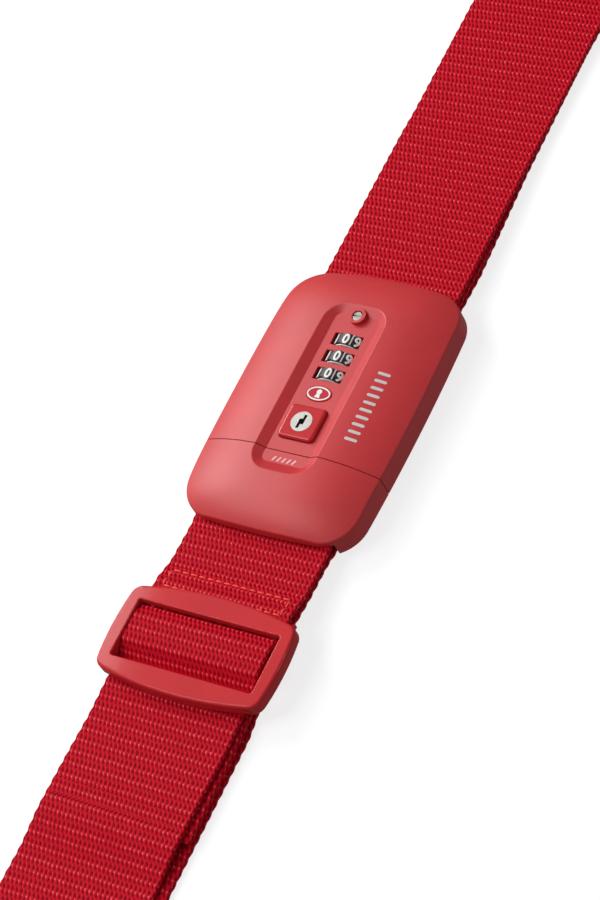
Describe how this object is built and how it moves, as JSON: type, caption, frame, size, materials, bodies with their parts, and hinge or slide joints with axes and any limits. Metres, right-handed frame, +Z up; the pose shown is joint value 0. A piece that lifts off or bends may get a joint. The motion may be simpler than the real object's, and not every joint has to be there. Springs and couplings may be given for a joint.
{
  "type": "luggage strap",
  "caption": "Flat webbing luggage strap closed in a loop, with a domed combination lock buckle, a key override and a length slider.",
  "frame": {"origin": "on the resting surface, in the middle of the whole strap as it lies", "axes": "+Y along the strap towards the lock half of the buckle, +X across the strap, +Z up out of the lock face"},
  "size_m": [0.0642, 0.4369, 0.05],
  "materials": {
    "red_plastic": "satin with a fine sparkle grain",
    "red_plastic_base": "satin",
    "badge_red": "glossy with a white printed rim",
    "screw_steel": "zinc plated",
    "bar_steel": "drawn bar",
    "spindle_steel": "ground",
    "dial_black": "satin with printed numbers",
    "dial_pale": "satin",
    "spring_steel": "spring temper",
    "reset_steel": "nickel plated",
    "red_button": "glossy",
    "case_zinc": "die-cast zinc",
    "key_nickel": "nickel plated",
    "plate_steel": "stamped",
    "tongue_plastic": "satin",
    "red_slider": "satin top with polished edges",
    "webbing_red": "ribbed polyester webbing",
    "thread_orange": "bonded sewing thread"
  },
  "bodies": {
    "lock_body": {"lock_cover": "red_plastic", "lock_base": "red_plastic_base", "emblem_badge": "badge_red", "base_screws": "screw_steel", "strap_bar_main": "bar_steel", "dial_spindle": "spindle_steel", "detent_spring": "spring_steel", "button_springs": "spring_steel", "webbing_upper": "webbing_red", "webbing_return_upper": "webbing_red", "webbing_roll": "webbing_red"},
    "insert": {"insert_cover": "red_plastic", "insert_base": "red_plastic_base", "insert_screws": "screw_steel", "strap_bar_insert": "bar_steel", "insert_tongue": "tongue_plastic", "slider_frame": "red_slider", "buckle_tab": "webbing_red", "tab_stitching": "thread_orange", "webbing_lower": "webbing_red"},
    "dial_one": {"dial_1": "dial_black", "dial_sleeve_1": "dial_pale"},
    "dial_two": {"dial_2": "dial_black", "dial_sleeve_2": "dial_pale"},
    "dial_three": {"dial_3": "dial_black", "dial_sleeve_3": "dial_pale"},
    "button": {"push_button": "red_button", "key_cylinder_case": "case_zinc", "release_plate": "plate_steel"},
    "key_barrel": {"key_plug": "key_nickel", "key_cam": "case_zinc"},
    "reset": {"reset_screw": "reset_steel"},
    "left_latch": {"latch_left": "plate_steel"},
    "right_latch": {"latch_right": "plate_steel"}
  },
  "joints": [
    {"name": "insert_pull", "type": "slide", "parent": "lock_body", "child": "insert", "axis": [0, -1, 0], "range_m": [0, 0.028]},
    {"name": "dial_one_turn", "type": "hinge", "parent": "lock_body", "child": "dial_one", "pos_m": [0, -0.01, 0.009], "axis": [0, 1, 0], "continuous": true},
    {"name": "dial_two_turn", "type": "hinge", "parent": "lock_body", "child": "dial_two", "pos_m": [0, -0.00345, 0.009], "axis": [0, 1, 0], "continuous": true},
    {"name": "dial_three_turn", "type": "hinge", "parent": "lock_body", "child": "dial_three", "pos_m": [0, 0.0031, 0.009], "axis": [0, 1, 0], "continuous": true},
    {"name": "button_press", "type": "slide", "parent": "lock_body", "child": "button", "axis": [0, 0, -1], "range_m": [0, 0.0015], "stiffness_N_per_m": 400, "springref_m": -0.003, "deforming": ["button_springs"]},
    {"name": "key_turn", "type": "hinge", "parent": "button", "child": "key_barrel", "pos_m": [0, -0.0285, 0.01], "axis": [0, 0, -1], "range_deg": [0, 90]},
    {"name": "reset_turn", "type": "hinge", "parent": "lock_body", "child": "reset", "pos_m": [0, 0.0118, 0.012], "axis": [0, 0, -1], "range_deg": [0, 90]},
    {"name": "left_latch_slide", "type": "slide", "parent": "lock_body", "child": "left_latch", "axis": [1, 0, 0], "range_m": [0, 0.0015]},
    {"name": "right_latch_slide", "type": "slide", "parent": "lock_body", "child": "right_latch", "axis": [-1, 0, 0], "range_m": [0, 0.0015]}
  ],
  "couplings": [
    {"joint": "left_latch_slide", "follows": "button_press", "ratio": 1},
    {"joint": "right_latch_slide", "follows": "button_press", "ratio": 1}
  ]
}
